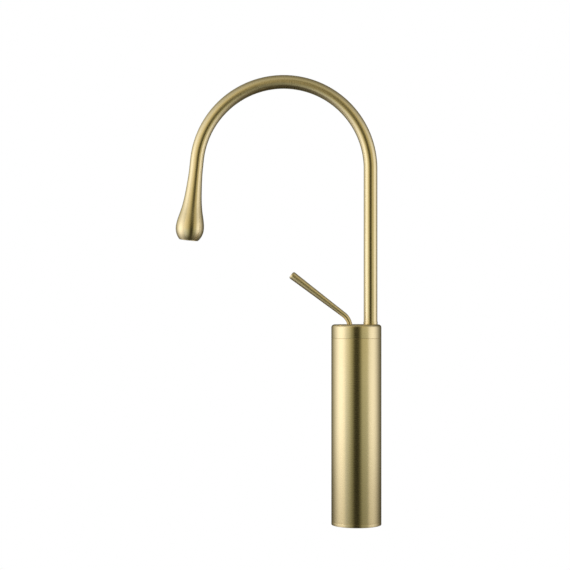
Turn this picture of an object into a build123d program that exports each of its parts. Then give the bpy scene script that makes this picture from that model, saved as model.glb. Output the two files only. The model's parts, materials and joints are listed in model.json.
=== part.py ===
from build123d import *
import math
import os

os.makedirs("parts", exist_ok=True)

# A tall basin mixer. Millimetres, +Z up, origin at the centre of the base's underside.
# The spout reaches towards -X, and the lever points the same way.

# clearances
running_gap = 0.05  # radial, between parts that turn or slide in each other
loose_gap = 0.3  # between moving parts that must not touch
seam_chamfer = 0.3  # V groove where two outer parts meet

# body
body_diameter = 50.0
body_height = 200.0
cap_height = 13.8
cap_edge_radius = 3.0
body_wall = 2.5  # at the tube's two ends
body_wall_step = 0.5  # the tube's middle is this much thicker
base_ring_height = 3.3
base_ring_width = 5.0
gasket_groove_width = 2.0
gasket_groove_depth = 1.5
base_plug_height = 16.0
stud_x = 9.0
stud_thread_radius = 3.4  # M8 tapping hole

# hose ports
port_thread_radius = 4.5  # M10x1 tapping hole
port_depth = 15.0
port_pitch = 13.8
hose_opening_width = 13.2

# valve body
valve_depth = 18.0  # from the swivel disc's underside down to the valve body's top
valve_flange_height = 38.0
valve_neck_height = 22.0
valve_neck_radius = 17.5
outlet_duct_radius = 3.0
duct_floor = 0.5  # the duct lies this far above the spout socket's floor
duct_plug_radius = 4.0
duct_plug_gap = 0.45  # between the spout's socket and the plug

# cartridge, counted down from the valve body's top; across, its sizes follow its radius
cartridge_x = -6.4
cartridge_radius = 12.5
cartridge_depth = 18.8
nut_radius = 1.056 * cartridge_radius
nut_height = 6.0
nut_notch_width = 3.0
nut_notch_depth = 2.0
neck_radius = 0.848 * cartridge_radius
neck_wall = 1.0
neck_height = 11.6  # from the nut's seat to the neck's top
neck_lip_height = 5.8
skirt_wall = 2.05
base_thickness = 5.0
base_flange = 2.0
seal_squeeze = 0.8  # the seals stand out of the base by this much
seal_groove_depth = 1.0
seal_width = 1.2
disc_thickness = 3.0
inlet_port_radius = 0.152 * cartridge_radius
inlet_port_back = 0.176 * cartridge_radius  # inlets lie this far to -X of the cartridge's axis
inlet_port_side = 0.352 * cartridge_radius
outlet_port_radius = 0.176 * cartridge_radius
outlet_port_front = 0.4 * cartridge_radius
moving_disc_radius = 0.64 * cartridge_radius
disc_travel_start = 0.136 * cartridge_radius  # the moving disc's offset towards +X when closed
mixing_pocket_radius = 0.392 * cartridge_radius
mixing_pocket_offset = 0.16 * cartridge_radius
mixing_pocket_depth = 2.0
carrier_radius = 0.6 * cartridge_radius
carrier_height = 3.4

# lever and its pivot, heights counted from the valve body's top
pivot_rise = 4.0
pin_radius = 1.2
holder_radius = 0.64 * cartridge_radius
holder_top_rise = 6.8
holder_flange_radius = 0.736 * cartridge_radius
holder_flange_height = 2.8
spindle_width = 6.0
spindle_stem_width = 5.2
spindle_block_half = 4.5
spindle_top_rise = 12.2
ball_radius = 1.9
ball_drop = 8.8  # from the pivot down to the ball's centre
finger_radius = 1.3
hub_radius = 4.6
hub_height = 7.2
hub_bottom_rise = 9.2
hub_floor = 0.4
grub_radius = 1.25
rod_exit_radius = 2.5
rod_bend_radius = 16.0
rod_root_radius = 2.65
rod_tip_radius = 3.96
rod_length = 65.9  # straight tapered run
rod_angle = 37.3  # above the horizontal
rod_tip_round = 1.7
rod_bend_rise = 18.1
lever_lift = 22.0  # degrees
disc_plate_radius = 11.5
disc_plate_thickness = 3.0
disc_slot_margin = 0.35
cap_ledge_thickness = 3.0
cap_ledge_bore = 10.0
cap_neck_gap = 0.7  # radial, round the cartridge's neck
cap_wall = 2.9
cap_stand_off = 1.0  # between the cap's underside and the valve body
riser_boss_wall = 2.25

# spout
riser_x = 14.2
riser_radius = 6.8
tube_wall = 1.3
arch_radius = 87.0
arch_height = 355.5
arch_end_lean = 6.0  # degrees past the vertical, nozzle leaning outwards
tube_tail = 8.0
foot_ring_wall = 0.3
foot_ring_height = 2.5
foot_ring_lift = 0.2
bush_wall = 0.7
washer_thickness = 1.5
spigot_wall = 2.45
spigot_drop = 28.0  # from the valve body's top down to the spigot's end
spigot_in_tube = 10.5
socket_depth = 35.5
seal_ring_radius = 0.62
ring_groove_depth = 1.35
ring_groove_width = 1.7
seal_drops = (10.0, 18.0)  # below the valve body's top
lock_ring_drop = 23.0
lock_ring_thickness = 2.0
lock_ring_reach = 0.75  # into the spigot, and as far into the socket's wall
lock_ring_gap = 2.5

# outlet, lengths counted along its axis from the end of the arch
outlet_length = 80.8
outlet_rim_radius = 9.2
outlet_belly_radius = 14.06
outlet_belly_place = 68.8
outlet_swell = ((8.0, 31.0), (10.75, 51.0))  # radius and place on the way to the belly
outlet_bore_end = 50.0
outlet_spigot_wall = 1.15
outlet_spigot_length = 6.5
aerator_bore = 7.75
aerator_depth = 14.8
aerator_gasket_thickness = 1.5
housing_wall = 1.1
housing_recess = 0.5
housing_lip = 0.6
housing_lip_height = 1.0
regulator_thickness = 3.0
screen_thickness = 0.6
insert_height = 4.3
water_hole_radius = 0.55
water_hole_pitch = 1.75

# worked out from the sizes above
body_radius = body_diameter / 2
bore_radius = body_radius - body_wall
middle_bore_radius = bore_radius - body_wall_step
fit_radius = bore_radius - running_gap
seam_z = body_height - cap_height
ledge_top = body_height - disc_plate_thickness
ledge_bottom = ledge_top - cap_ledge_thickness
valve_top = ledge_top - valve_depth
valve_shoulder = valve_top - valve_flange_height
valve_bottom = valve_shoulder - valve_neck_height
ring_inner_radius = body_radius - base_ring_width
cartridge_floor = valve_top - cartridge_depth
nut_seat = valve_top - nut_height
pivot_z = valve_top + pivot_rise
base_bottom = cartridge_floor + seal_squeeze
discs_z = base_bottom + base_thickness
carrier_z = discs_z + 2 * disc_thickness
skirt_bore = cartridge_radius - running_gap - skirt_wall
neck_bore = neck_radius - neck_wall
disc_centre_x = cartridge_x + disc_travel_start
inlet_places = [(cartridge_x - inlet_port_back, side * inlet_port_side) for side in (-1, 1)]
outlet_place = (cartridge_x + outlet_port_front, 0)
hose_places = [(cartridge_x - inlet_port_back, side * port_pitch / 2) for side in (-1, 1)]
duct_z = valve_top - socket_depth + outlet_duct_radius + duct_floor
lip_z = nut_seat + neck_height - neck_lip_height
cap_bottom = valve_top + cap_stand_off
tube_bottom = valve_top + washer_thickness + running_gap
tube_bore = riser_radius - tube_wall
spigot_radius = tube_bore - running_gap
spigot_bore = spigot_radius - spigot_wall
socket_radius = spigot_radius + running_gap
lock_ring_floor = spigot_radius - lock_ring_reach
lock_ring_outer = spigot_radius + lock_ring_reach
outlet_bore = spigot_radius - outlet_spigot_wall
duct_plug_x = riser_x + socket_radius + duct_plug_gap
bush_outer = riser_radius + running_gap + bush_wall
lean = math.radians(arch_end_lean)
arch_centre_x = riser_x - arch_radius
arch_end_x = arch_centre_x - arch_radius * math.cos(lean)
arch_end_z = arch_height + arch_radius * math.sin(lean)
outlet_along = (-math.sin(lean), 0, -math.cos(lean))
outlet_across = (math.cos(lean), 0, -math.sin(lean))
outlet_frame = Plane(origin=(arch_end_x, 0, arch_end_z), x_dir=outlet_across, z_dir=outlet_along)
outlet_section = Plane(origin=(arch_end_x, 0, arch_end_z), x_dir=outlet_across, z_dir=(0, 1, 0))
outlet_axis = Axis((arch_end_x, 0, arch_end_z), outlet_along)
aerator_start = outlet_length - aerator_depth
lift = math.radians(lever_lift)


# names a piece and writes its file
def finish(piece, name):
    piece.part.label = name
    export_step(piece.part, f"parts/{name}.step")


# a round boss or hole standing on height z
def post(x, y, z, radius, height, mode=Mode.ADD):
    with BuildSketch(Plane.XY.offset(z)) as outline:
        with Locations((x, y)):
            Circle(radius)
    extrude(outline.sketch, amount=height, mode=mode)


# a plain ring or groove standing on height z
def ring(x, z, inner, outer, height, mode=Mode.ADD):
    with BuildSketch(Plane.XY.offset(z)) as outline:
        with Locations((x, 0)):
            Circle(outer)
            Circle(inner, mode=Mode.SUBTRACT)
    extrude(outline.sketch, amount=height, mode=mode)


# a ring along the outlet's axis
def outlet_ring(start, inner, outer, length):
    with BuildSketch(outlet_frame.offset(start)) as outline:
        Circle(outer)
        Circle(inner, mode=Mode.SUBTRACT)
    extrude(outline.sketch, amount=length)


# a disc across the outlet with water holes in a hexagonal pattern
def perforated(start, radius, thickness):
    row_pitch = water_hole_pitch * math.sqrt(3) / 2
    rows = int(radius / row_pitch)
    places = []
    for row in range(-rows, rows + 1):
        shift = (row % 2) / 2
        for column in range(-rows - 2, rows + 3):
            place = ((column + shift) * water_hole_pitch, row * row_pitch)
            if math.hypot(*place) + 2 * water_hole_radius < radius:
                places.append(place)
    with BuildSketch(outlet_frame.offset(start)) as outline:
        Circle(radius)
        with Locations(*places):
            Circle(water_hole_radius, mode=Mode.SUBTRACT)
    extrude(outline.sketch, amount=thickness)


# body tube: turned outside, stepped bore, V grooves at both ends
with BuildPart() as body_tube:
    with BuildSketch(Plane.XZ):
        with BuildLine():
            Polyline(
                (bore_radius, base_ring_height),
                (body_radius - seam_chamfer, base_ring_height),
                (body_radius, base_ring_height + seam_chamfer),
                (body_radius, seam_z - seam_chamfer),
                (body_radius - seam_chamfer, seam_z),
                (bore_radius, seam_z),
                (bore_radius, valve_shoulder),
                (middle_bore_radius, valve_shoulder),
                (middle_bore_radius, base_plug_height),
                (bore_radius, base_plug_height),
                close=True,
            )
        make_face()
    revolve(axis=Axis.Z)
finish(body_tube, "body_tube")

# base ring: the visible foot, with the gasket's groove in its underside
groove_inner = body_radius - base_ring_width / 2 - gasket_groove_width / 2
with BuildPart() as base_ring:
    with BuildSketch(Plane.XZ):
        with BuildLine():
            Polyline(
                (ring_inner_radius, 0),
                (body_radius, 0),
                (body_radius, base_ring_height - seam_chamfer),
                (body_radius - seam_chamfer, base_ring_height),
                (ring_inner_radius, base_ring_height),
                close=True,
            )
        make_face()
        with Locations((groove_inner, 0)):
            Rectangle(
                gasket_groove_width,
                gasket_groove_depth,
                align=(Align.MIN, Align.MIN),
                mode=Mode.SUBTRACT,
            )
    revolve(axis=Axis.Z)
finish(base_ring, "base_ring")

with BuildPart() as base_gasket:
    ring(0, 0, groove_inner, groove_inner + gasket_groove_width, gasket_groove_depth)
finish(base_gasket, "base_gasket")

# base plug: carries the fixing stud and lets the two hoses through
with BuildPart() as base_plug:
    post(0, 0, 0, ring_inner_radius - running_gap, base_ring_height)
    post(0, 0, base_ring_height, fit_radius, base_plug_height - base_ring_height)
    post(stud_x, 0, 0, stud_thread_radius, base_plug_height, Mode.SUBTRACT)
    with BuildSketch():
        with Locations((hose_places[0][0], 0)):
            SlotCenterToCenter(port_pitch, hose_opening_width, rotation=90)
    extrude(amount=base_plug_height, mode=Mode.SUBTRACT)
finish(base_plug, "base_plug")

# valve body: cartridge bore on the left, spout socket on the right, ports underneath
with BuildPart() as valve_body:
    post(0, 0, valve_bottom, valve_neck_radius, valve_neck_height)
    post(0, 0, valve_shoulder, fit_radius, valve_flange_height)
    post(cartridge_x, 0, cartridge_floor, cartridge_radius, cartridge_depth, Mode.SUBTRACT)
    post(cartridge_x, 0, nut_seat, nut_radius, nut_height, Mode.SUBTRACT)
    post(riser_x, 0, valve_top - socket_depth, socket_radius, socket_depth, Mode.SUBTRACT)
    lock_z = valve_top - lock_ring_drop - lock_ring_thickness - loose_gap
    lock_space = lock_ring_thickness + 2 * loose_gap
    post(riser_x, 0, lock_z, lock_ring_outer + loose_gap, lock_space, Mode.SUBTRACT)
    for (x, y), (hose_x, hose_y) in zip(inlet_places, hose_places):
        post(hose_x, hose_y, valve_bottom, port_thread_radius, port_depth, Mode.SUBTRACT)
        duct_bottom = valve_bottom + port_depth
        post(x, y, duct_bottom, inlet_port_radius, cartridge_floor - duct_bottom, Mode.SUBTRACT)
    outlet_drop_height = cartridge_floor - duct_z
    post(*outlet_place, duct_z, outlet_port_radius, outlet_drop_height, Mode.SUBTRACT)
    with BuildSketch(Plane.YZ.offset(outlet_place[0])):
        with Locations((0, duct_z)):
            Circle(outlet_duct_radius)
    extrude(amount=body_radius, mode=Mode.SUBTRACT)
    with BuildSketch(Plane.YZ.offset(duct_plug_x)):
        with Locations((0, duct_z)):
            Circle(duct_plug_radius)
    extrude(amount=body_radius, mode=Mode.SUBTRACT)
finish(valve_body, "valve_body")

with BuildPart() as duct_plug:
    plug_end = math.sqrt(fit_radius**2 - duct_plug_radius**2) - running_gap
    with BuildSketch(Plane.YZ.offset(duct_plug_x)):
        with Locations((0, duct_z)):
            Circle(duct_plug_radius)
    extrude(amount=plug_end - duct_plug_x)
finish(duct_plug, "duct_plug")

# top cap: rounded edge, hollow inside, a boss round the riser, a ledge for the swivel disc
with BuildPart() as top_cap:
    with BuildSketch(Plane.XZ):
        with BuildLine():
            Polyline(
                (0, cap_bottom),
                (fit_radius, cap_bottom),
                (fit_radius, seam_z),
                (body_radius - seam_chamfer, seam_z),
                (body_radius, seam_z + seam_chamfer),
                (body_radius, body_height - cap_edge_radius),
            )
            RadiusArc(
                (body_radius, body_height - cap_edge_radius),
                (body_radius - cap_edge_radius, body_height),
                -cap_edge_radius,
            )
            Polyline((body_radius - cap_edge_radius, body_height), (0, body_height), (0, cap_bottom))
        make_face()
    revolve(axis=Axis.Z)
    with BuildSketch(Plane.XY.offset(cap_bottom)):
        Circle(fit_radius - cap_wall)
        with Locations((riser_x, 0)):
            Circle(bush_outer + riser_boss_wall, mode=Mode.SUBTRACT)
    extrude(amount=ledge_bottom - cap_bottom, mode=Mode.SUBTRACT)
    post(cartridge_x, 0, cap_bottom, neck_radius + cap_neck_gap, ledge_bottom - cap_bottom, Mode.SUBTRACT)
    post(cartridge_x, 0, ledge_bottom, cap_ledge_bore, cap_ledge_thickness, Mode.SUBTRACT)
    recess_radius = disc_plate_radius + 2 * running_gap
    post(cartridge_x, 0, ledge_top, recess_radius, disc_plate_thickness, Mode.SUBTRACT)
    post(riser_x, 0, cap_bottom, bush_outer, ledge_top - cap_bottom, Mode.SUBTRACT)
    post(riser_x, 0, ledge_top, riser_radius + loose_gap, disc_plate_thickness, Mode.SUBTRACT)
finish(top_cap, "top_cap")

# the spout's bearings
with BuildPart() as spout_bush:
    bush_bottom = valve_top + washer_thickness + running_gap
    ring(riser_x, bush_bottom, bush_outer - bush_wall, bush_outer, ledge_top - bush_bottom)
finish(spout_bush, "spout_bush")

with BuildPart() as spout_thrust_washer:
    ring(riser_x, valve_top, socket_radius + running_gap, bush_outer - running_gap, washer_thickness)
finish(spout_thrust_washer, "spout_thrust_washer")

# cartridge, from the bottom up
seal_places = [(place, inlet_port_radius) for place in inlet_places]
seal_places.append((outlet_place, outlet_port_radius))

with BuildPart() as cartridge_base:
    post(cartridge_x, 0, base_bottom, cartridge_radius - running_gap, base_flange)
    post(cartridge_x, 0, base_bottom, skirt_bore - running_gap, base_thickness)
    for (x, y), radius in seal_places:
        post(x, y, base_bottom, radius, base_thickness, Mode.SUBTRACT)
        groove = radius + loose_gap + seal_width
        post(x, y, base_bottom, groove, seal_groove_depth, Mode.SUBTRACT)
finish(cartridge_base, "cartridge_base")

with BuildPart() as cartridge_base_seals:
    for (x, y), radius in seal_places:
        with BuildSketch(Plane.XY.offset(cartridge_floor)):
            with Locations((x, y)):
                Circle(radius + loose_gap + seal_width)
                Circle(radius + loose_gap, mode=Mode.SUBTRACT)
        extrude(amount=seal_squeeze + seal_groove_depth)
finish(cartridge_base_seals, "cartridge_base_seals")

with BuildPart() as fixed_ceramic_disc:
    post(cartridge_x, 0, discs_z, skirt_bore - running_gap, disc_thickness)
    for (x, y), radius in seal_places:
        post(x, y, discs_z, radius, disc_thickness, Mode.SUBTRACT)
finish(fixed_ceramic_disc, "fixed_ceramic_disc")

with BuildPart() as moving_ceramic_disc:
    moving_disc_z = discs_z + disc_thickness
    pocket_x = disc_centre_x + mixing_pocket_offset
    post(disc_centre_x, 0, moving_disc_z, moving_disc_radius, disc_thickness)
    post(pocket_x, 0, moving_disc_z, mixing_pocket_radius, mixing_pocket_depth, Mode.SUBTRACT)
finish(moving_ceramic_disc, "moving_ceramic_disc")

with BuildPart() as disc_carrier:
    ball_slot_half = ball_radius + loose_gap / 2
    post(disc_centre_x, 0, carrier_z, carrier_radius, carrier_height)
    ball_slot_floor = pivot_z - ball_drop - ball_radius - loose_gap / 2
    with BuildSketch(Plane.XY.offset(ball_slot_floor)):
        with Locations((cartridge_x, 0)):
            Rectangle(2 * ball_slot_half, 2 * (ball_radius + loose_gap))
    extrude(amount=carrier_height, mode=Mode.SUBTRACT)
finish(disc_carrier, "disc_carrier")

with BuildPart() as cartridge_housing:
    skirt_bottom = base_bottom + base_flange
    skirt_height = nut_seat - skirt_bottom
    post(cartridge_x, 0, skirt_bottom, cartridge_radius - running_gap, skirt_height)
    post(cartridge_x, 0, nut_seat, neck_radius, neck_height)
    post(cartridge_x, 0, skirt_bottom, skirt_bore, skirt_height, Mode.SUBTRACT)
    post(cartridge_x, 0, nut_seat, neck_bore, lip_z - nut_seat, Mode.SUBTRACT)
    post(cartridge_x, 0, lip_z, holder_radius + running_gap, neck_height, Mode.SUBTRACT)
finish(cartridge_housing, "cartridge_housing")

# cartridge nut: threaded ring with two spanner notches
with BuildPart() as cartridge_nut:
    nut_bore = neck_radius + running_gap
    ring(cartridge_x, nut_seat, nut_bore, nut_radius, nut_height)
    with BuildSketch(Plane.XY.offset(valve_top)):
        with Locations((cartridge_x, 0)):
            Rectangle(nut_notch_width, 2 * nut_radius + loose_gap)
    extrude(amount=-nut_notch_depth, mode=Mode.SUBTRACT)
finish(cartridge_nut, "cartridge_nut")

# spindle holder: turns in the housing's neck and carries the pin
holder_top = valve_top + holder_top_rise
holder_bottom = lip_z - running_gap - holder_flange_height
slot_reach = spindle_width / 2 + spindle_block_half * math.sin(lift) + loose_gap
with BuildPart() as spindle_holder:
    post(cartridge_x, 0, holder_bottom, holder_flange_radius, holder_flange_height)
    post(cartridge_x, 0, holder_bottom, holder_radius, holder_top - holder_bottom)
    with BuildSketch(Plane.XY.offset(holder_bottom)):
        with Locations((cartridge_x, 0)):
            Rectangle(2 * slot_reach, spindle_width + loose_gap)
    extrude(amount=holder_top - holder_bottom, mode=Mode.SUBTRACT)
    with BuildSketch(Plane.XZ):
        with Locations((cartridge_x, pivot_z)):
            Circle(pin_radius)
    extrude(amount=holder_radius, both=True, mode=Mode.SUBTRACT)
finish(spindle_holder, "spindle_holder")

with BuildPart() as spindle_pin:
    with BuildSketch(Plane.XZ):
        with Locations((cartridge_x, pivot_z)):
            Circle(pin_radius)
    extrude(amount=holder_radius - 2 * loose_gap, both=True)
finish(spindle_pin, "spindle_pin")

# spindle: block on the pin, finger and ball below, square stem above
with BuildPart() as cartridge_spindle:
    block_bottom = pivot_z - spindle_block_half
    stem_top = valve_top + spindle_top_rise
    with BuildSketch(Plane.XY.offset(block_bottom)):
        with Locations((cartridge_x, 0)):
            Rectangle(spindle_width, spindle_width)
    extrude(amount=holder_top - block_bottom)
    with BuildSketch(Plane.XY.offset(holder_top)):
        with Locations((cartridge_x, 0)):
            Rectangle(spindle_stem_width, spindle_stem_width)
    extrude(amount=stem_top - holder_top)
    post(cartridge_x, 0, pivot_z - ball_drop, finger_radius, ball_drop - spindle_block_half)
    with Locations((cartridge_x, 0, pivot_z - ball_drop)):
        Sphere(ball_radius)
    with BuildSketch(Plane.XZ):
        with Locations((cartridge_x, pivot_z)):
            Circle(pin_radius + running_gap)
    extrude(amount=spindle_width, both=True, mode=Mode.SUBTRACT)
finish(cartridge_spindle, "cartridge_spindle")

# lever hub: sits on the stem, takes the rod from above and a grub screw from the side
hub_bottom = valve_top + hub_bottom_rise
hub_top = hub_bottom + hub_height
grub_z = (hub_bottom + stem_top) / 2
grub_length = math.sqrt(hub_radius**2 - grub_radius**2) - (spindle_stem_width + running_gap) / 2
grub_plane = Plane.YZ.offset(cartridge_x - (spindle_stem_width + running_gap) / 2)
with BuildPart() as lever_hub:
    post(cartridge_x, 0, hub_bottom, hub_radius, hub_height)
    with BuildSketch(Plane.XY.offset(hub_bottom)):
        with Locations((cartridge_x, 0)):
            Rectangle(spindle_stem_width + running_gap, spindle_stem_width + running_gap)
    extrude(amount=stem_top - hub_bottom, mode=Mode.SUBTRACT)
    rod_bottom = stem_top + hub_floor
    post(cartridge_x, 0, rod_bottom, rod_exit_radius, hub_top - rod_bottom, Mode.SUBTRACT)
    with BuildSketch(grub_plane):
        with Locations((0, grub_z)):
            Circle(grub_radius)
    extrude(amount=-hub_radius, mode=Mode.SUBTRACT)
finish(lever_hub, "lever_hub")

with BuildPart() as hub_grub_screw:
    with BuildSketch(grub_plane):
        with Locations((0, grub_z)):
            Circle(grub_radius)
    extrude(amount=-grub_length)
    with BuildSketch(grub_plane.offset(-grub_length)):
        with Locations((0, grub_z)):
            RegularPolygon(grub_radius / 2, 6)
    extrude(amount=grub_length / 2, mode=Mode.SUBTRACT)
finish(hub_grub_screw, "hub_grub_screw")

# lever rod: straight stem, bend, then a tapered run with a rounded end
turn = math.radians(90 - rod_angle)
bend_start_z = valve_top + rod_bend_rise
bend_centre_x = cartridge_x - rod_bend_radius
bend_end_x = bend_centre_x + rod_bend_radius * math.cos(turn)
bend_end_z = bend_start_z + rod_bend_radius * math.sin(turn)
rod_along = (-math.sin(turn), 0, math.cos(turn))
rod_across = (math.cos(turn), 0, math.sin(turn))
rod_section = Plane(origin=(bend_end_x, 0, bend_end_z), x_dir=rod_across, z_dir=(0, -1, 0))
rod_end_frame = Plane(origin=(bend_end_x, 0, bend_end_z), x_dir=rod_across, z_dir=rod_along)
with BuildPart() as lever_rod:
    post(cartridge_x, 0, rod_bottom, rod_exit_radius, bend_start_z - rod_bottom)
    with BuildLine(Plane.XZ) as rod_bend:
        CenterArc((bend_centre_x, bend_start_z), rod_bend_radius, 0, 90 - rod_angle)
    with BuildSketch(Plane.XY.offset(bend_start_z)):
        with Locations((cartridge_x, 0)):
            Circle(rod_exit_radius)
    with BuildSketch(rod_end_frame):
        Circle(rod_root_radius)
    sweep(path=rod_bend.line, multisection=True)
    with BuildSketch(rod_section):
        with BuildLine():
            Polyline(
                (0, rod_length),
                (0, 0),
                (rod_root_radius, 0),
                (rod_tip_radius, rod_length),
                close=True,
            )
        make_face()
        fillet(vertices().sort_by_distance((0, 0))[-1], rod_tip_round)
    revolve(axis=Axis((bend_end_x, 0, bend_end_z), rod_along))
finish(lever_rod, "lever_rod")

# swivel disc: closes the cap round the lever and turns with it
with BuildPart() as swivel_disc:
    slot_radius = rod_exit_radius + disc_slot_margin
    rod_reach = (body_height - pivot_z) * math.tan(lift)
    slot_start = cartridge_x - disc_slot_margin
    slot_end = cartridge_x + rod_reach + disc_slot_margin
    post(cartridge_x, 0, ledge_top, disc_plate_radius, disc_plate_thickness)
    with BuildSketch(Plane.XY.offset(ledge_top)):
        with Locations(((slot_start + slot_end) / 2, 0)):
            SlotCenterToCenter(slot_end - slot_start, 2 * slot_radius)
    extrude(amount=disc_plate_thickness, mode=Mode.SUBTRACT)
finish(swivel_disc, "swivel_disc")

# spout tube: riser, arch and a short straight tail, all one bent tube
with BuildPart() as spout_tube:
    with BuildLine(Plane.XZ) as spout_line:
        Line((riser_x, tube_bottom), (riser_x, arch_height))
        CenterArc((arch_centre_x, arch_height), arch_radius, 0, 180 - arch_end_lean)
        PolarLine(
            (arch_end_x, arch_end_z),
            tube_tail,
            direction=(outlet_along[0], outlet_along[2]),
        )
    with BuildSketch(Plane.XY.offset(tube_bottom)):
        with Locations((riser_x, 0)):
            Circle(riser_radius)
            Circle(tube_bore, mode=Mode.SUBTRACT)
    sweep(path=spout_line.line)
finish(spout_tube, "spout_tube")

with BuildPart() as spout_foot_ring:
    foot_ring_inner = riser_radius + running_gap / 2
    foot_ring_outer = riser_radius + foot_ring_wall
    ring(riser_x, body_height + foot_ring_lift, foot_ring_inner, foot_ring_outer, foot_ring_height)
finish(spout_foot_ring, "spout_foot_ring")

# spigot: turns in the valve body's socket, brazed into the tube above
lock_ring_bottom = valve_top - lock_ring_drop - lock_ring_thickness
groove_floor = spigot_radius - ring_groove_depth
with BuildPart() as spout_spigot:
    spigot_bottom = valve_top - spigot_drop
    spigot_height = tube_bottom + spigot_in_tube - spigot_bottom
    ring(riser_x, spigot_bottom, spigot_bore, spigot_radius, spigot_height)
    for drop in seal_drops:
        groove_z = valve_top - drop - ring_groove_width / 2
        ring(riser_x, groove_z, groove_floor, body_radius, ring_groove_width, Mode.SUBTRACT)
    lock_groove = lock_ring_thickness + 2 * running_gap
    lock_groove_z = lock_ring_bottom - running_gap
    ring(riser_x, lock_groove_z, lock_ring_floor, body_radius, lock_groove, Mode.SUBTRACT)
finish(spout_spigot, "spout_spigot")

with BuildPart() as spout_o_rings:
    seal_centre_radius = groove_floor + running_gap + seal_ring_radius
    for drop in seal_drops:
        with Locations((riser_x, 0, valve_top - drop)):
            Torus(seal_centre_radius, seal_ring_radius)
finish(spout_o_rings, "spout_o_rings")

# lock ring: open ring that snaps out into the socket's groove
with BuildPart() as spout_lock_ring:
    lock_ring_inner = lock_ring_floor + running_gap
    ring(riser_x, lock_ring_bottom, lock_ring_inner, lock_ring_outer, lock_ring_thickness)
    with BuildSketch(Plane.XY.offset(lock_ring_bottom)):
        with Locations((riser_x + lock_ring_outer, 0)):
            Rectangle(lock_ring_outer, lock_ring_gap)
    extrude(amount=lock_ring_thickness, mode=Mode.SUBTRACT)
finish(spout_lock_ring, "spout_lock_ring")

# outlet: a drop that swells to a belly, rounds in and is cut off flat; its spigot is inside the tube
with BuildPart() as outlet_drop:
    with BuildSketch(outlet_section):
        with BuildLine():
            Spline(
                (riser_radius, tube_tail),
                *outlet_swell,
                (outlet_belly_radius, outlet_belly_place),
                tangents=((0, 1), (0, 1)),
            )
            TangentArc(
                (outlet_belly_radius, outlet_belly_place),
                (outlet_rim_radius, outlet_length),
                tangent=(0, 1),
            )
            Polyline(
                (outlet_rim_radius, outlet_length),
                (aerator_bore, outlet_length),
                (aerator_bore, aerator_start),
                (outlet_bore, outlet_bore_end),
                (outlet_bore, tube_tail - outlet_spigot_length),
                (spigot_radius, tube_tail - outlet_spigot_length),
                (spigot_radius, tube_tail),
                (riser_radius, tube_tail),
            )
        make_face()
    revolve(axis=outlet_axis)
finish(outlet_drop, "outlet_drop")

# aerator, from the inside out
with BuildPart() as aerator_gasket:
    gasket_outer = aerator_bore - running_gap
    outlet_ring(aerator_start, gasket_outer - 2 * housing_wall, gasket_outer, aerator_gasket_thickness)
finish(aerator_gasket, "aerator_gasket")

housing_start = aerator_start + aerator_gasket_thickness
housing_end = outlet_length - housing_recess
housing_bore = aerator_bore - running_gap - housing_wall
with BuildPart() as aerator_housing:
    outlet_ring(housing_start, housing_bore, aerator_bore - running_gap, housing_end - housing_start)
    lip_start = housing_end - housing_lip_height
    outlet_ring(lip_start, housing_bore - housing_lip, housing_bore, housing_lip_height)
finish(aerator_housing, "aerator_housing")

with BuildPart() as flow_regulator:
    perforated(housing_start, housing_bore - running_gap, regulator_thickness)
finish(flow_regulator, "flow_regulator")

with BuildPart() as aerator_screens:
    for step in (1, 3):
        screen_start = housing_start + regulator_thickness + step * screen_thickness
        perforated(screen_start, housing_bore - running_gap, screen_thickness)
finish(aerator_screens, "aerator_screens")

with BuildPart() as aerator_insert:
    perforated(lip_start - insert_height, housing_bore - running_gap, insert_height)
finish(aerator_insert, "aerator_insert")
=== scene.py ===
import json
import bmesh
import bpy
import numpy as np
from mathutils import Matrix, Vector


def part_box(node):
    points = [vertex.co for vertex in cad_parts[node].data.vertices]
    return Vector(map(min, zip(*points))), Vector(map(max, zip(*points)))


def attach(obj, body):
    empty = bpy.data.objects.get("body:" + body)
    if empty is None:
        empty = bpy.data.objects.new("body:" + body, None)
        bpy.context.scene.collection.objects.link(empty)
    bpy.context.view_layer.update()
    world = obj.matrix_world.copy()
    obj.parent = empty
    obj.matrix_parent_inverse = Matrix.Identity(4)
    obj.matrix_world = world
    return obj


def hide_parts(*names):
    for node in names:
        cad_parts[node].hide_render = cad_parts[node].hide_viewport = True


mm = 0.001
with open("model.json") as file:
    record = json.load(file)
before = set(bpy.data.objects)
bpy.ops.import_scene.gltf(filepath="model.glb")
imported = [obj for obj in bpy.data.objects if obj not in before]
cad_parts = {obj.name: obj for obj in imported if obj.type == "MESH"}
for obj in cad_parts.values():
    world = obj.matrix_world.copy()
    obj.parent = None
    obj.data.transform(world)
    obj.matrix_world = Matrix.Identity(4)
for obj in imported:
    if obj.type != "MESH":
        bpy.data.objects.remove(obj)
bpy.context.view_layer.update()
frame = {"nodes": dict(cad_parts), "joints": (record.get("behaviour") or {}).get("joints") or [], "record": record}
nodes = frame["nodes"]
joints = {joint["name"]: joint for joint in frame["joints"]}
print("frame loaded:", len(nodes), "CAD nodes")


# hex colour as seen on a screen, turned to the linear values that shaders use
def toLinear(hexColour, alpha=1.0):
    shown = np.array([int(hexColour[i:i + 2], 16) for i in (1, 3, 5)]) / 255
    linear = np.where(shown <= 0.04045, shown / 12.92, ((shown + 0.055) / 1.055) ** 2.4)
    return (*[float(value) for value in linear], alpha)


# adds one node: settings are its properties, values and links go to its inputs by name or number
def addNode(tree, kind, settings=None, values=None, links=None):
    node = tree.nodes.new(kind)
    for key, value in (settings or {}).items():
        setattr(node, key, value)
    for key, value in (values or {}).items():
        node.inputs[key].default_value = value
    for key, socket in (links or {}).items():
        tree.links.new(socket, node.inputs[key])
    return node


def newMaterial(name):
    material = bpy.data.materials.new(name)
    material.use_nodes = True
    material.node_tree.nodes.clear()
    return material, material.node_tree


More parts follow.
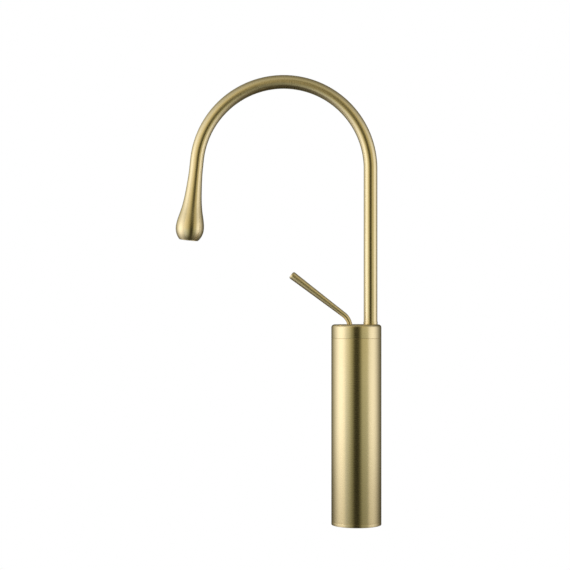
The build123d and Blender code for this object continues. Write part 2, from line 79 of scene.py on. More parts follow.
def nodeOf(tree, kind):
    return next(node for node in tree.nodes if node.type == kind)


# low and high corner of a CAD node's box, in millimetres
def lowHigh(name):
    low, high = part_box(name)
    return np.array(low) / mm, np.array(high) / mm


# every corner of a closed outline becomes an arc: the arc's centre lies on the corner's bisector,
# and the arc touches both edges at radius * tan(half the turn) from the corner
def roundCorners(points, radii, steps=5):
    points = np.array(points, float)
    pieces = []
    for i, radius in enumerate(radii):
        corner = points[i]
        if radius <= 0:
            pieces.append(corner[None])
            continue
        back = points[i - 1] - corner
        on = points[(i + 1) % len(points)] - corner
        back, on = back / np.linalg.norm(back), on / np.linalg.norm(on)
        half = np.arccos(np.clip(back @ on, -1, 1)) / 2
        reach = radius / np.tan(half)
        bisector = (back + on) / np.linalg.norm(back + on)
        centre = corner + bisector * radius / np.sin(half)
        start, end = corner + back * reach - centre, corner + on * reach - centre
        sweep = np.arccos(np.clip(start @ end / radius**2, -1, 1))
        t = np.linspace(0, 1, steps + 1)[:, None]
        arc = (np.sin((1 - t) * sweep) * start + np.sin(t * sweep) * end) / np.sin(sweep)
        pieces.append(centre + arc)
    return np.vstack(pieces)


# a straight run up from the foot, one bend towards -X, and a straight run on: returns the centre
# of the path at each length and the direction across it, both in the XZ plane
def bentPath(lengths, path):
    bend = np.radians(path["bendAngle"])
    turned = np.clip((lengths - path["firstRun"]) / path["bendRadius"], 0, bend)
    before = np.minimum(lengths, path["firstRun"])
    after = np.maximum(lengths - path["firstRun"] - path["bendRadius"] * bend, 0)
    x = path["footX"] - path["bendRadius"] * (1 - np.cos(turned)) - after * np.sin(bend)
    z = path["footZ"] + before + path["bendRadius"] * np.sin(turned) + after * np.cos(bend)
    centre = np.stack([x, np.zeros_like(x), z], -1)
    across = np.stack([np.cos(turned), np.zeros_like(x), np.sin(turned)], -1)
    return centre, across


# faces of a grid whose second direction is closed, and whose first may be
def gridFaces(rows, columns, closedRows):
    index = np.arange(rows * columns).reshape(rows, columns)
    row = np.arange(rows if closedRows else rows - 1)
    nextRow = (row + 1) % rows
    column = np.arange(columns)
    nextColumn = (column + 1) % columns
    a, b = index[row][:, column], index[row][:, nextColumn]
    c, d = index[nextRow][:, nextColumn], index[nextRow][:, column]
    return np.stack([a, b, c, d], -1).reshape(-1, 4)


# the pattern on a flat turned piece: along the axis it runs outwards and down, round it by the angle
def flatUv(corners, centreX, radius):
    x, y, z = np.moveaxis(corners, -1, 0)
    turn = np.arctan2(y, x - centreX)
    turn = np.where(turn - turn[:, :1] > np.pi, turn - 2 * np.pi, turn)
    turn = np.where(turn - turn[:, :1] < -np.pi, turn + 2 * np.pi, turn)
    return np.stack([np.hypot(x - centreX, y) - z, turn * radius], -1).reshape(-1, 2)


# sharpAngle is the angle between two faces from which their edge stays hard, in degrees
def makeObject(name, points, faces, uv, body, replaced, material, sharpAngle=35):
    mesh = bpy.data.meshes.new(name)
    mesh.from_pydata((points * mm).tolist(), [], faces.tolist())
    layer = mesh.uv_layers.new(name="surface")
    layer.data.foreach_set("uv", uv.astype(np.float32).ravel())
    work = bmesh.new()
    work.from_mesh(mesh)
    bmesh.ops.remove_doubles(work, verts=work.verts, dist=1e-7)
    work.to_mesh(mesh)
    work.free()
    mesh.shade_smooth()
    mesh.set_sharp_from_angle(angle=np.radians(sharpAngle))
    piece = bpy.data.objects.new(name, mesh)
    bpy.context.scene.collection.objects.link(piece)
    mesh.materials.append(material)
    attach(piece, body)
    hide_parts(*replaced)
    print("made", name, len(mesh.polygons), "faces")
    return piece


# an outline of (radius, length) points is carried round the path: each point stands off the path's
# centre by its radius, in the direction cos(angle) * across + sin(angle) * Y
def turnedPiece(name, outline, path, body, replaced, material, sides=128):
    radius, length = outline[:, 0], outline[:, 1]
    centre, across = bentPath(length, path)
    angle = np.linspace(0, 2 * np.pi, sides, endpoint=False)
    side = np.array([0, 1, 0])
    around = np.cos(angle)[None, :, None] * across[:, None] + np.sin(angle)[None, :, None] * side
    points = centre[:, None] + radius[:, None, None] * around
    faces = gridFaces(len(outline), sides, True)
    steps = np.linalg.norm(np.roll(outline, -1, 0) - outline, axis=1)
    along = np.concatenate([[0], np.cumsum(steps)])
    row, column = np.divmod(np.arange(len(faces)), sides)
    turn = 2 * np.pi * np.abs(radius).max() / sides
    u = np.stack([along[row], along[row], along[row + 1], along[row + 1]], -1)
    v = np.stack([column, column + 1, column + 1, column], -1) * turn
    uv = np.stack([u, v], -1)
    return makeObject(name, points.reshape(-1, 3), faces, uv, body, replaced, material)


noiseRange = {"From Min": 0.3, "From Max": 0.7}  # where most values of a noise lie


# Brass with a satin PVD coat in pale gold. The work turned under an abrasive belt, so hair lines run
# round every part: light smears along the axis and stays crisp round it.
def makeSatinGold():
    coat = {
        "colour": "#f0dfb3",
        "thickCoat": "#ecdbac",
        "lineSpacing": 0.35,  # real lines lie about 0.05 mm apart, drawn coarser so that they show
        "lineLength": 9.0,
        "lineDepth": 0.02,  # sizes are in millimetres
        "bumpStrength": 0.03,
        "cloudScale": 28.0,  # patches of the coat's colour per metre, so about 36 mm each
        "roughness": 0.285,
        "roughnessSpread": 0.025,
        "anisotropy": 0.85,
    }
    material, tree = newMaterial("satinGoldPvd")
    uv = addNode(tree, "ShaderNodeUVMap", {"uv_map": "surface"})
    # UV is in millimetres, first along the axis, then round it
    lines = addNode(
        tree, "ShaderNodeMapping",
        values={"Scale": (1 / coat["lineSpacing"], 1 / coat["lineLength"], 1)},
        links={"Vector": uv.outputs["UV"]},
    )
    hair = addNode(
        tree, "ShaderNodeTexNoise", {"noise_dimensions": "2D"},
        {"Scale": 1.0, "Detail": 3.0, "Roughness": 0.6}, {"Vector": lines.outputs["Vector"]},
    )
    where = addNode(tree, "ShaderNodeTexCoord")
    cloud = addNode(
        tree, "ShaderNodeTexNoise",
        values={"Scale": coat["cloudScale"], "Detail": 2.0, "Roughness": 0.5},
        links={"Vector": where.outputs["Object"]},
    )
    rough = addNode(
        tree, "ShaderNodeMapRange",
        values={**noiseRange, "To Min": coat["roughness"] - coat["roughnessSpread"],
                "To Max": coat["roughness"] + coat["roughnessSpread"]},
        links={"Value": hair.outputs["Fac"]},
    )
    # sockets 6 and 7 of this node are its two colours, output 2 is the mixed one
    tint = addNode(
        tree, "ShaderNodeMix", {"data_type": "RGBA", "blend_type": "MIX"},
        {6: toLinear(coat["colour"]), 7: toLinear(coat["thickCoat"])}, {0: cloud.outputs["Fac"]},
    )
    bump = addNode(
        tree, "ShaderNodeBump",
        values={"Strength": coat["bumpStrength"], "Distance": coat["lineDepth"] * mm},
        links={"Height": hair.outputs["Fac"]},
    )
    tangent = addNode(tree, "ShaderNodeTangent", {"direction_type": "UV_MAP", "uv_map": "surface"})
    shader = addNode(
        tree, "ShaderNodeBsdfPrincipled",
        values={"Metallic": 1.0, "Anisotropic": coat["anisotropy"]},
        links={"Base Color": tint.outputs[2], "Roughness": rough.outputs["Result"],
               "Normal": bump.outputs["Normal"], "Tangent": tangent.outputs["Tangent"]},
    )
    addNode(tree, "ShaderNodeOutputMaterial", links={"Surface": shader.outputs["BSDF"]})
    return material


# The materials of the inside, by slot: name, colour, metallic, roughness, and the size and depth of
# the surface's unevenness in millimetres.
innerFinishes = {
    "raw_brass": ("turnedBrass", "#d9b96a", 1.0, 0.3, 0.6, 0.01),
    "steel": ("stainlessSteel", "#b9b9b6", 1.0, 0.32, 0.5, 0.01),
    "white_plastic": ("acetal", "#e9e7e1", 0.0, 0.38, 0.4, 0.01),
    "grey_plastic": ("mouldedNylon", "#4a4d50", 0.0, 0.48, 0.3, 0.02),
    "ceramic": ("lappedAlumina", "#ece9e0", 0.0, 0.22, 0.3, 0.004),
    "black_rubber": ("nitrileRubber", "#1b1b1c", 0.0, 0.62, 0.5, 0.03),
}
innerLook = {"roughnessSpread": 0.06, "bumpStrength": 0.4, "detail": 4.0}


# Inner parts as they come off the machine or out of the mould: one colour, with a fine unevenness of
# gloss and surface at the size given in millimetres.
def makeInner(name, colour, metallic, roughness, size, depth):
    material, tree = newMaterial(name)
    where = addNode(tree, "ShaderNodeTexCoord")
    grain = addNode(
        tree, "ShaderNodeTexNoise", values={"Scale": 1 / (size * mm), "Detail": innerLook["detail"]},
        links={"Vector": where.outputs["Object"]},
    )
    gloss = addNode(
        tree, "ShaderNodeMapRange",
        values={**noiseRange, "To Min": roughness - innerLook["roughnessSpread"],
                "To Max": roughness + innerLook["roughnessSpread"]},
        links={"Value": grain.outputs["Fac"]},
    )
    bump = addNode(
        tree, "ShaderNodeBump",
        values={"Strength": innerLook["bumpStrength"], "Distance": depth * mm},
        links={"Height": grain.outputs["Fac"]},
    )
    shader = addNode(
        tree, "ShaderNodeBsdfPrincipled",
        values={"Base Color": toLinear(colour), "Metallic": metallic},
        links={"Roughness": gloss.outputs["Result"], "Normal": bump.outputs["Normal"]},
    )
    addNode(tree, "ShaderNodeOutputMaterial", links={"Surface": shader.outputs["BSDF"]})
    return material


gold = makeSatinGold()
inner = {slot: makeInner(*finish) for slot, finish in innerFinishes.items()}
slotOf = {part["node"]: part["material_slot"] for part in frame["record"]["subparts"]}
for name, node in nodes.items():
    node.data.materials.clear()
    node.data.materials.append(inner.get(slotOf[name], gold))
print("materials set on", len(nodes), "CAD nodes")

# sizes read from the frame
tubeHigh = lowHigh("body_tube")[1]
capLow, capHigh = lowHigh("top_cap")
ringHigh = lowHigh("base_ring")[1]
spoutLow, spoutHigh = lowHigh("spout_tube")
footLow, footHigh = lowHigh("spout_foot_ring")
discLow, discHigh = lowHigh("swivel_disc")
rodLow = lowHigh("lever_rod")[0]
bodyRadius = tubeHigh[0]
capTop, seam, ringTop = capHigh[2], tubeHigh[2], ringHigh[2]
riserX = joints["spout_swivel"]["pos_m"][0] / mm
leverX = joints["temperature_turn"]["pos_m"][0] / mm
riserRadius = spoutHigh[0] - riserX
# paths that never reach their bend
uprightAtBody = {"footX": 0.0, "footZ": 0.0, "firstRun": 1e6, "bendRadius": 1.0, "bendAngle": 1.0}
uprightAtRiser = {**uprightAtBody, "footX": riserX}

# body tube and base ring
bodyShape = {"wall": 2.5, "middleWall": 3.0, "shoulder": 140.0, "plugTop": 16.0, "edge": 0.25}
inside = bodyRadius - bodyShape["wall"]
middle = bodyRadius - bodyShape["middleWall"]
tubeOutline = roundCorners(
    [(inside, ringTop), (bodyRadius, ringTop), (bodyRadius, seam), (inside, seam),
     (inside, bodyShape["shoulder"]), (middle, bodyShape["shoulder"]),
     (middle, bodyShape["plugTop"]), (inside, bodyShape["plugTop"])],
    [0, bodyShape["edge"], bodyShape["edge"], 0, 0, 0, 0, 0],
)
turnedPiece("bodyTube", tubeOutline, uprightAtBody, "faucet_body", ["body_tube"], gold, sides=256)

ringShape = {
    "width": 5.0,
    "edge": 0.25,
    "foot": 0.35,
    "grooveAt": 3.5,
    "grooveWidth": 2.0,
    "grooveDepth": 1.5,
}
grooveIn = bodyRadius - ringShape["grooveAt"]
grooveOut = grooveIn + ringShape["grooveWidth"]
ringOutline = roundCorners(
    [(bodyRadius - ringShape["width"], 0), (grooveIn, 0), (grooveIn, ringShape["grooveDepth"]),
     (grooveOut, ringShape["grooveDepth"]), (grooveOut, 0), (bodyRadius, 0), (bodyRadius, ringTop),
     (bodyRadius - ringShape["width"], ringTop)],
    [0, 0, 0, 0, 0, ringShape["foot"], ringShape["edge"], 0],
)
turnedPiece("baseRing", ringOutline, uprightAtBody, "faucet_body", ["base_ring"], gold, sides=256)

# top cap: a turned rim with a flat top that has two round holes
capShape = {
    "edgeRadius": 3.0,
    "seamEdge": 0.25,
    "riserHole": 7.1,
    "discHole": 11.6,
    "fit": 22.45,
    "rightSteps": 49,
    "leftSteps": 161,
    "splitSteps": 41,
}


# a flat web from a round hole out to a rim: the lines from the hole's edge to the rim's points
# point at the hole's centre, so the hole keeps its round shape
def webRows(centreX, holeRadius, rim, z, steps=6):
    away = rim - np.array([centreX, 0])
    edge = np.array([centreX, 0]) + holeRadius * away / np.linalg.norm(away, axis=1)[:, None]
    t = np.linspace(0, 1, steps + 1)[:, None, None]
    flat = edge * (1 - t) + rim * t
    return np.concatenate([flat, np.full((*flat.shape[:2], 1), z)], -1)


def makeCap():
    flatRadius = bodyRadius - capShape["edgeRadius"]
    splitX = (riserX - capShape["riserHole"] + leverX + capShape["discHole"]) / 2
    corner = np.arccos(splitX / flatRadius)
    rightArc = np.linspace(-corner, corner, capShape["rightSteps"])
    leftArc = np.linspace(corner, 2 * np.pi - corner, capShape["leftSteps"])
    down = np.linspace(1, -1, capShape["splitSteps"])[:, None]
    split = down * [0, flatRadius * np.sin(corner)] + [splitX, 0]
    allAngles = np.concatenate([rightArc, leftArc[1:-1]])

    def circle(angles, radius):
        return radius * np.stack([np.cos(angles), np.sin(angles)], -1)

    grids = []
    for z, rimRadius, turnOver in ((capTop, flatRadius, 1), (capLow[2], flatRadius, -1)):
        rightRim = np.vstack([circle(rightArc, rimRadius), split[1:-1]])
        leftRim = np.vstack([circle(leftArc, rimRadius), split[::-1][1:-1]])
        holes = ((riserX, capShape["riserHole"], rightRim), (leverX, capShape["discHole"], leftRim))
        for centreX, hole, rim in holes:
            grids.append(webRows(centreX, hole, rim, z)[:, ::turnOver])
            if turnOver == 1:
                edge = grids[-1][0]
                wall = np.stack([edge * [1, 1, 0] + [0, 0, level] for level in (capLow[2], capTop)])
                grids.append(wall)
    # the rim from the underside out and up: its edge's arc ends where the flat top starts
    side = roundCorners(
        [(flatRadius, capLow[2]), (capShape["fit"], capLow[2]), (capShape["fit"], seam),
         (bodyRadius, seam), (bodyRadius, capTop), (flatRadius - 1, capTop)],
        [0, 0, 0, capShape["seamEdge"], capShape["edgeRadius"] - 1e-6, 0], 10,
    )[:-1]
    side[-1] = (flatRadius, capTop)
    rim = np.stack([np.concatenate([circle(allAngles, radius), np.full((len(allAngles), 1), z)], -1)
                    for radius, z in side])
    grids.append(rim)
    points, faces, uv, offset = [], [], [], 0
    for grid in grids:
        rows, columns = grid.shape[:2]
        face = gridFaces(rows, columns, False)
        uv.append(flatUv(grid.reshape(-1, 3)[face], 0, bodyRadius))
        points.append(grid.reshape(-1, 3))
        faces.append(face + offset)
        offset += rows * columns
    return np.vstack(points), np.vstack(faces), np.vstack(uv)


capPoints, capFaces, capUv = makeCap()
makeObject("topCap", capPoints, capFaces, capUv, "faucet_body", ["top_cap"], gold)

# swivel disc: a plate with a slot; both edges are seen from the slot's middle
discShape = {"radius": 11.5, "slotHalfWidth": 2.85, "slotStart": -0.35, "slotEnd": 7.22, "edge": 0.2}


def makeDisc(sides=192):
    middleX = leverX + (discShape["slotStart"] + discShape["slotEnd"]) / 2
    half = (discShape["slotEnd"] - discShape["slotStart"]) / 2
    angle = np.linspace(0, 2 * np.pi, sides, endpoint=False)
    cos, sin = np.cos(angle), np.sin(angle)
    # slot: the nearest of the straight side and the round end along each direction
    width = discShape["slotHalfWidth"]
    toSide = width / np.maximum(np.abs(sin), 1e-9)
    toEnd = half * np.abs(cos) + np.sqrt(np.maximum(width**2 - (half * sin) ** 2, 0))
    slot = np.where(toSide * np.abs(cos) <= half, toSide, toEnd)
    # rim: where each direction meets the disc's circle
    offCentre = middleX - leverX
    rim = -offCentre * cos + np.sqrt(discShape["radius"] ** 2 - (offCentre * sin) ** 2)
    low, high, edge = discLow[2], discHigh[2], discShape["edge"]
    # each row: share of the way from the slot to the rim, height, and shift outwards
    shares = [(0, low, 0), (1, low, 0), (1, high - edge, 0), (1, high - edge / 3, -edge / 3),
              (1, high, -edge), (0, high, edge), (0, high - edge / 3, edge / 3), (0, high - edge, 0)]
    rows = [np.stack([middleX + (slot * (1 - t) + rim * t + shift) * cos,
                      (slot * (1 - t) + rim * t + shift) * sin, np.full(sides, z)], -1)
            for t, z, shift in shares]
    points = np.stack(rows)
    faces = gridFaces(len(rows), sides, True)
    points = points.reshape(-1, 3)
    return points, faces, flatUv(points[faces], leverX, discShape["radius"])


discPoints, discFaces, discUv = makeDisc()
makeObject("swivelDisc", discPoints, discFaces, discUv, "temperature", ["swivel_disc"], gold)

# lever: stem, bend and a run that tapers out to a rounded tip
leverShape = {
    "bendRadius": 16.0,
    "bendAngle": 52.7,
    "bendDrop": 2.9,  # the bend starts this far below the cap's top
    "exitRadius": 2.5,
    "rootRadius": 2.65,
    "tipRadius": 3.96,
    "run": 65.9,
    "tipRound": 1.7,
}
leverPath = {
    "footX": leverX,
    "footZ": rodLow[2],
    "firstRun": capTop - leverShape["bendDrop"] - rodLow[2],
    "bendRadius": leverShape["bendRadius"],
    "bendAngle": leverShape["bendAngle"],
}
bendLength = leverShape["bendRadius"] * np.radians(leverShape["bendAngle"])
runStart = leverPath["firstRun"] + bendLength
runEnd = runStart + leverShape["run"]
tip = roundCorners(
    [(0, runStart), (leverShape["rootRadius"], runStart), (leverShape["tipRadius"], runEnd),
     (0, runEnd)],
    [0, 0, leverShape["tipRound"], 0], 10,
)[2:]
bend = np.linspace(0, 1, 25)
growth = leverShape["exitRadius"] + (leverShape["rootRadius"] - leverShape["exitRadius"]) * bend
runSteps = np.linspace(0, 1, 13)[1:-1]
taper = leverShape["rootRadius"] + (tip[0, 0] - leverShape["rootRadius"]) * runSteps
leverOutline = np.vstack([
    [(0, 0), (leverShape["exitRadius"], 0)],
    np.stack([growth, leverPath["firstRun"] + bendLength * bend], -1),
    np.stack([taper, runStart + (tip[0, 1] - runStart) * runSteps], -1),
    tip,
])
turnedPiece("leverRod", leverOutline, leverPath, "lever", ["lever_rod"], gold, sides=64)

# spout: riser and arch as one tube, then the drop
spoutShape = {
    "archRadius": 87.0,
    "archAngle": 174.0,
    "wall": 1.3,
    "tail": 8.0,
    "rimRadius": 9.2,
    "bellyRadius": 14.06,
    "bellyPlace": 68.8,
    "swell": ((8.0, 31.0), (10.75, 51.0)),
    "dropLength": 80.8,
    "aeratorBore": 7.75,
    "aeratorDepth": 14.8,
    "bore": 4.3,
    "boreEnd": 50.0,
    "rimEdge": 0.3,
}
spoutPath = {
    "footX": riserX,
    "footZ": spoutLow[2],
    "firstRun": spoutHigh[2] - spoutShape["archRadius"] - riserRadius - spoutLow[2],
    "bendRadius": spoutShape["archRadius"],
    "bendAngle": spoutShape["archAngle"],
}
archLength = spoutShape["archRadius"] * np.radians(spoutShape["archAngle"])
dropStart = spoutPath["firstRun"] + archLength
tubeEnd = dropStart + spoutShape["tail"]
boreRadius = riserRadius - spoutShape["wall"]
upTheTube = np.concatenate([np.linspace(0, spoutPath["firstRun"], 12)[:-1],
                            np.linspace(spoutPath["firstRun"], dropStart, 121), [tubeEnd]])
tubeOutline = np.vstack([
    np.stack([np.full(len(upTheTube), riserRadius), upTheTube], -1),
    np.stack([np.full(len(upTheTube), boreRadius), upTheTube[::-1]], -1),
])
turnedPiece("gooseneckTube", tubeOutline, spoutPath, "spout", ["spout_tube"], gold, sides=96)


# Smooth curve through the given (radius, place) points, level at both ends: a cubic between each two
# points, with slopes that make the curvature run on.
def smoothThrough(points, places):
    r, s = np.array(points, float).T
    gap, rise = np.diff(s), np.diff(r)
    count = len(r)
    system, right = np.eye(count), np.zeros(count)
    for i in range(1, count - 1):
        system[i, i - 1:i + 2] = 1 / gap[i - 1], 2 / gap[i - 1] + 2 / gap[i], 1 / gap[i]
        right[i] = 3 * (rise[i - 1] / gap[i - 1] ** 2 + rise[i] / gap[i] ** 2)
    slope = np.linalg.solve(system, right)
    k = np.clip(np.searchsorted(s, places) - 1, 0, count - 2)
    t = (places - s[k]) / gap[k]
    return (r[k] * (1 + 2 * t) * (1 - t) ** 2 + slope[k] * gap[k] * t * (1 - t) ** 2
            + r[k + 1] * t**2 * (3 - 2 * t) + slope[k + 1] * gap[k] * t**2 * (t - 1))


def makeDropOutline():
    places = np.linspace(spoutShape["tail"], spoutShape["bellyPlace"], 60)
    through = [(riserRadius, spoutShape["tail"]), *spoutShape["swell"],
               (spoutShape["bellyRadius"], spoutShape["bellyPlace"])]
    swell = np.stack([smoothThrough(through, places), places], -1)
    # below the belly an arc rounds in to the rim; its centre is level with the belly
    fall = spoutShape["dropLength"] - spoutShape["bellyPlace"]
    inset = spoutShape["bellyRadius"] - spoutShape["rimRadius"]
    arcRadius = (fall**2 + inset**2) / (2 * inset)
    turned = np.linspace(0, np.arcsin(fall / arcRadius), 25)[1:]
    under = np.stack([spoutShape["bellyRadius"] - arcRadius * (1 - np.cos(turned)),
                      spoutShape["bellyPlace"] + arcRadius * np.sin(turned)], -1)
    end, edge = spoutShape["dropLength"], spoutShape["rimEdge"]
    # the rim's edge is broken in steps that are shares of rimEdge
    under[-1] -= (edge * 0.3, edge)
    inside = [
        (spoutShape["rimRadius"] - edge * 0.6, end - edge * 0.15),
        (spoutShape["rimRadius"] - edge * 1.3, end),
        (spoutShape["aeratorBore"] + edge * 0.5, end),
        (spoutShape["aeratorBore"], end - edge * 0.5),
        (spoutShape["aeratorBore"], end - spoutShape["aeratorDepth"]),
        (spoutShape["bore"], spoutShape["boreEnd"]),
        (spoutShape["bore"], spoutShape["tail"]),
    ]
    outline = np.vstack([swell, under, inside])
    outline[:, 1] += dropStart
    return outline


dropOutline = makeDropOutline()
turnedPiece("teardropOutlet", dropOutline, spoutPath, "spout", ["outlet_drop"], gold, sides=128)

footShape = {"gap": 0.025, "edge": 0.12}
footRadius = footHigh[0] - riserX
footInside = riserRadius + footShape["gap"]
footOutline = roundCorners(
    [(footInside, footLow[2]), (footRadius, footLow[2]), (footRadius, footHigh[2]),
     (footInside, footHigh[2])],
    [0, footShape["edge"], footShape["edge"], 0],
)
turnedPiece(
    "riserFootRing", footOutline, uprightAtRiser, "spout", ["spout_foot_ring"], gold, sides=96,
)


def setStops(ramp, stops):
    while len(ramp.elements) < len(stops):
        ramp.elements.new(0.5)
    for element, (place, colour) in zip(ramp.elements, stops):
        element.position = place
        element.color = (*colour, 1)


def makeLightMaterial(name, colour, strength):
    material, tree = newMaterial(name)
    glow = addNode(tree, "ShaderNodeEmission", values={"Color": (*colour, 1), "Strength": strength})
    addNode(tree, "ShaderNodeOutputMaterial", links={"Surface": glow.outputs["Emission"]})
    return material


def showTo(piece, seenBy):
    for ray in ("camera", "diffuse", "glossy", "transmission", "volume_scatter", "shadow"):
        setattr(piece, "visible_" + ray, ray in seenBy)


def makeCard(name, corners, material, seenBy):
    mesh = bpy.data.meshes.new(name)
    mesh.from_pydata(corners, [], [tuple(range(len(corners)))])
    mesh.materials.append(material)
    card = bpy.data.objects.new(name, mesh)
    bpy.context.scene.collection.objects.link(card)
    showTo(card, seenBy)


studio = {
    "floorSize": 6.0,
    "floorHeight": -0.0003,
    "backdropRadius": 7.5,
    "tableRadius": 0.38,
    "tableHeight": -0.0005,
    "tableShade": (0.6, 0.58, 0.52),  # share of the light from below that the table lets through
    "dimTint": (1.0, 0.93, 0.47),  # of weak light, which is warm
    "brightTint": (1.0, 1.0, 1.07),  # of strong light
    "frontSheet": {"y": -0.47, "z": (-0.37, 0.75)},
    # glow of the sheet at its x places, in metres: a dark strip in the middle, brighter to the sides
    "sheetGlow": ((-0.65, 0.92), (-0.5, 0.79), (-0.32, 0.57), (-0.215, 0.34), (-0.145, 0.2),
                  (-0.1, 0.04), (0.0, 0.02), (0.072, 0.04), (0.12, 0.14), (0.16, 0.28),
                  (0.215, 0.46), (0.43, 0.51), (0.52, 0.56), (0.65, 0.66)),
    # by height on the sheet: how far the strip leans right, how bright the sheet is, how much of the
    # strip's black is lost, and how much of the way the light goes from the low tint to the high one
    "sheetLean": {"From Min": 0.34, "From Max": 0.6, "To Min": 0.0, "To Max": -0.03},
    "sheetRise": {"From Min": 0.05, "From Max": 0.25, "To Min": 0.84, "To Max": 1.2},
    "stripFade": {"From Min": 0.32, "From Max": 0.44, "To Min": 0.0, "To Max": 0.08},
    "sheetWarmth": {"From Min": 0.22, "From Max": 0.28, "To Min": 0.0, "To Max": 1.0},
    "lowTint": (1.0, 1.07, 1.12, 1.0),
    "highTint": (1.0, 0.93, 0.76, 1.0),
    # glow of the room from straight below to straight above, and the share of it that is left from
    # the front to the back
    "roomGlow": ((0.0, 0.035), (0.12, 0.14), (0.35, 0.24), (0.6, 0.26), (0.8, 0.27), (1.0, 0.5)),
    "backShare": ((0.2, 1.0), (0.42, 0.5), (0.7, 0.45), (1.0, 0.3)),
    # lights: azimuth from the front (-Y) towards +X, in degrees like the others
    "leftLight": {"azimuth": -80, "elevation": 1, "spread": 27.5, "glow": 1.4},
    "backLeftLight": {"azimuth": -130, "elevation": 20, "spread": 13, "glow": 0.3},
    "rightLight": {"azimuth": 79, "elevation": -3, "spread": 24.5, "glow": 1.12},
}


# the tint goes from the dim one to the bright one as the glow goes from 0.1 to 1
def tinted(glow):
    share = np.clip((glow - 0.1) / 0.9, 0, 1)
    dim, bright = np.array(studio["dimTint"]), np.array(studio["brightTint"])
    return [float(value) for value in glow * (dim * (1 - share) + bright * share)]


# the floor is pale from above and can be seen through from below, so that the underside shows
def makeFloorMaterial():
    material = makeLightMaterial("paleFloor", (1, 1, 1), 1.0)
    tree = material.node_tree
    emission, output = nodeOf(tree, "EMISSION"), nodeOf(tree, "OUTPUT_MATERIAL")
    side = addNode(tree, "ShaderNodeNewGeometry")
    clear = addNode(tree, "ShaderNodeBsdfTransparent")
    mixed = addNode(tree, "ShaderNodeMixShader", links={0: side.outputs["Backfacing"],
                                                        1: emission.outputs["Emission"],
                                                        2: clear.outputs["BSDF"]})
    tree.links.new(mixed.outputs["Shader"], output.inputs["Surface"])
    return material


floorGlow = makeFloorMaterial()
backdropGlow = makeLightMaterial("paleBackdrop", (1, 1, 1), 1.0)
size, floorHeight = studio["floorSize"], studio["floorHeight"]
floorCorners = [(x * size, y * size, floorHeight) for x, y in ((-1, -1), (1, -1), (1, 1), (-1, 1))]
makeCard("floor", floorCorners, floorGlow, ["camera"])
tableRadius, tableHeight = studio["tableRadius"], studio["tableHeight"]
tableRing = [(tableRadius * np.cos(angle), tableRadius * np.sin(angle), tableHeight)
             for angle in np.linspace(0, 2 * np.pi, 64, endpoint=False)]
smoked, smokedTree = newMaterial("smokedTable")
through = addNode(smokedTree, "ShaderNodeBsdfTransparent",
                  values={"Color": (*studio["tableShade"], 1)})
addNode(smokedTree, "ShaderNodeOutputMaterial", links={"Surface": through.outputs["BSDF"]})
makeCard("tableTop", tableRing, smoked, ["glossy"])


# A sheet of diffuser that hangs in front, lit from both sides, with a black strip down its middle.
def makeSheetMaterial():
    material = makeLightMaterial("frontSheet", (1, 1, 1), 1.0)
    tree = material.node_tree
    reach = studio["sheetGlow"][-1][0]
    where = addNode(tree, "ShaderNodeTexCoord")
    parts = addNode(tree, "ShaderNodeSeparateXYZ", links={"Vector": where.outputs["Object"]})
    lean, rise, fade, warmth = [
        addNode(tree, "ShaderNodeMapRange", values=studio[key], links={"Value": parts.outputs["Z"]})
        for key in ("sheetLean", "sheetRise", "stripFade", "sheetWarmth")
    ]
    across = addNode(tree, "ShaderNodeMath", {"operation": "ADD"},
                     links={0: parts.outputs["X"], 1: lean.outputs["Result"]})
    place = addNode(tree, "ShaderNodeMapRange", values={"From Min": -reach, "From Max": reach},
                    links={"Value": across.outputs["Value"]})
    glow = addNode(tree, "ShaderNodeValToRGB", links={"Fac": place.outputs["Result"]})
    setStops(glow.color_ramp, [((x + reach) / (2 * reach), tinted(value))
                               for x, value in studio["sheetGlow"]])
    emission = nodeOf(tree, "EMISSION")
    least = addNode(tree, "ShaderNodeVectorMath", {"operation": "SCALE"}, {0: studio["dimTint"]},
                    {"Scale": fade.outputs["Result"]})
    faded = addNode(tree, "ShaderNodeVectorMath", {"operation": "MAXIMUM"},
                    links={0: glow.outputs["Color"], 1: least.outputs["Vector"]})
    tint = addNode(tree, "ShaderNodeMix", {"data_type": "RGBA"},
                   {6: studio["lowTint"], 7: studio["highTint"]}, {0: warmth.outputs["Result"]})
    shade = addNode(tree, "ShaderNodeVectorMath", {"operation": "MULTIPLY"},
                    links={0: faded.outputs["Vector"], 1: tint.outputs[2]})
    tree.links.new(shade.outputs["Vector"], emission.inputs["Color"])
    tree.links.new(rise.outputs["Result"], emission.inputs["Strength"])
    return material


sheetReach, sheetY = studio["sheetGlow"][-1][0], studio["frontSheet"]["y"]
sheetFoot, sheetTop = studio["frontSheet"]["z"]
sheetCorners = [(-sheetReach, sheetY, sheetFoot), (sheetReach, sheetY, sheetFoot),
                (sheetReach, sheetY, sheetTop), (-sheetReach, sheetY, sheetTop)]
makeCard("frontSheet", sheetCorners, makeSheetMaterial(), ["glossy"])
bpy.ops.mesh.primitive_uv_sphere_add(segments=48, ring_count=24, radius=studio["backdropRadius"])
backdrop = bpy.context.object
backdrop.name = "backdrop"
backdrop.data.materials.append(backdropGlow)
showTo(backdrop, ["camera"])


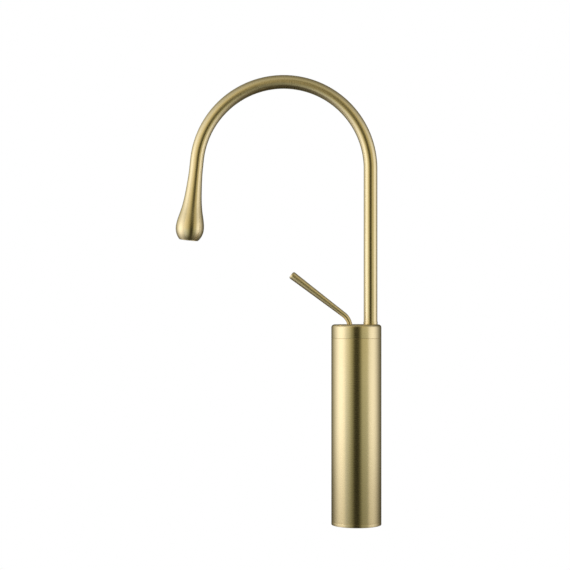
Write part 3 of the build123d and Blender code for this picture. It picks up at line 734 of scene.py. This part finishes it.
# The room: two big soft lights, left and right, and a weak one behind on the left, in front of a dim
# room that is darker below and behind. A light's glow falls off as exp((cos(angle) - 1) / spread^2)
# with the angle from its middle.
def makeRoom():
    world = bpy.data.worlds.new("studioRoom")
    bpy.context.scene.world = world
    world.use_nodes = True
    tree = world.node_tree
    tree.nodes.clear()
    where = addNode(tree, "ShaderNodeTexCoord")
    parts = addNode(tree, "ShaderNodeSeparateXYZ", links={"Vector": where.outputs["Generated"]})
    height = addNode(tree, "ShaderNodeMapRange", values={"From Min": -1.0, "From Max": 1.0},
                     links={"Value": parts.outputs["Z"]})
    walls = addNode(tree, "ShaderNodeValToRGB", links={"Fac": height.outputs["Result"]})
    setStops(walls.color_ramp, [(place, tinted(glow)) for place, glow in studio["roomGlow"]])
    back = addNode(tree, "ShaderNodeMapRange", values={"From Min": -1.0, "From Max": 1.0},
                   links={"Value": parts.outputs["Y"]})
    behind = addNode(tree, "ShaderNodeValToRGB", links={"Fac": back.outputs["Result"]})
    setStops(behind.color_ramp, [(place, (share,) * 3) for place, share in studio["backShare"]])
    room = addNode(tree, "ShaderNodeVectorMath", {"operation": "MULTIPLY"},
                   links={0: walls.outputs["Color"], 1: behind.outputs["Color"]})
    total = room.outputs["Vector"]
    for light in (studio["leftLight"], studio["rightLight"], studio["backLeftLight"]):
        azimuth, elevation = np.radians(light["azimuth"]), np.radians(light["elevation"])
        level = np.cos(elevation)
        direction = (np.sin(azimuth) * level, -np.cos(azimuth) * level, np.sin(elevation))
        facing = addNode(tree, "ShaderNodeVectorMath", {"operation": "DOT_PRODUCT"},
                         {1: direction}, {0: where.outputs["Generated"]})
        tight = 1 / np.radians(light["spread"]) ** 2
        falling = addNode(tree, "ShaderNodeMath", {"operation": "MULTIPLY_ADD"},
                          {1: tight, 2: -tight}, {0: facing.outputs["Value"]})
        glow = addNode(tree, "ShaderNodeMath", {"operation": "EXPONENT"},
                       links={0: falling.outputs["Value"]})
        lamp = addNode(tree, "ShaderNodeVectorMath", {"operation": "SCALE"},
                       {0: tinted(light["glow"])}, {"Scale": glow.outputs["Value"]})
        added = addNode(tree, "ShaderNodeVectorMath", {"operation": "ADD"},
                        links={0: total, 1: lamp.outputs["Vector"]})
        total = added.outputs["Vector"]
    background = addNode(tree, "ShaderNodeBackground", links={"Color": total})
    addNode(tree, "ShaderNodeOutputWorld", links={"Surface": background.outputs["Background"]})


makeRoom()

# camera: level, a long lens from 1.4 m
cameraShape = {"place": (-0.07135, -1.4, 0.219), "focal": 88.42, "rise": 0.0358}
cameraData = bpy.data.cameras.new("camera")
cameraData.lens = cameraShape["focal"]
cameraData.sensor_width = 36.0
cameraData.shift_y = cameraShape["rise"]  # keeps the base in the frame with the camera at cap height
camera = bpy.data.objects.new("camera", cameraData)
camera.location = cameraShape["place"]
camera.rotation_euler = (np.pi / 2, 0, 0)
bpy.context.scene.collection.objects.link(camera)
bpy.context.scene.camera = camera
bpy.context.scene.view_settings.view_transform = "Standard"
bpy.context.scene.view_settings.look = "None"

print("studio and camera ready")
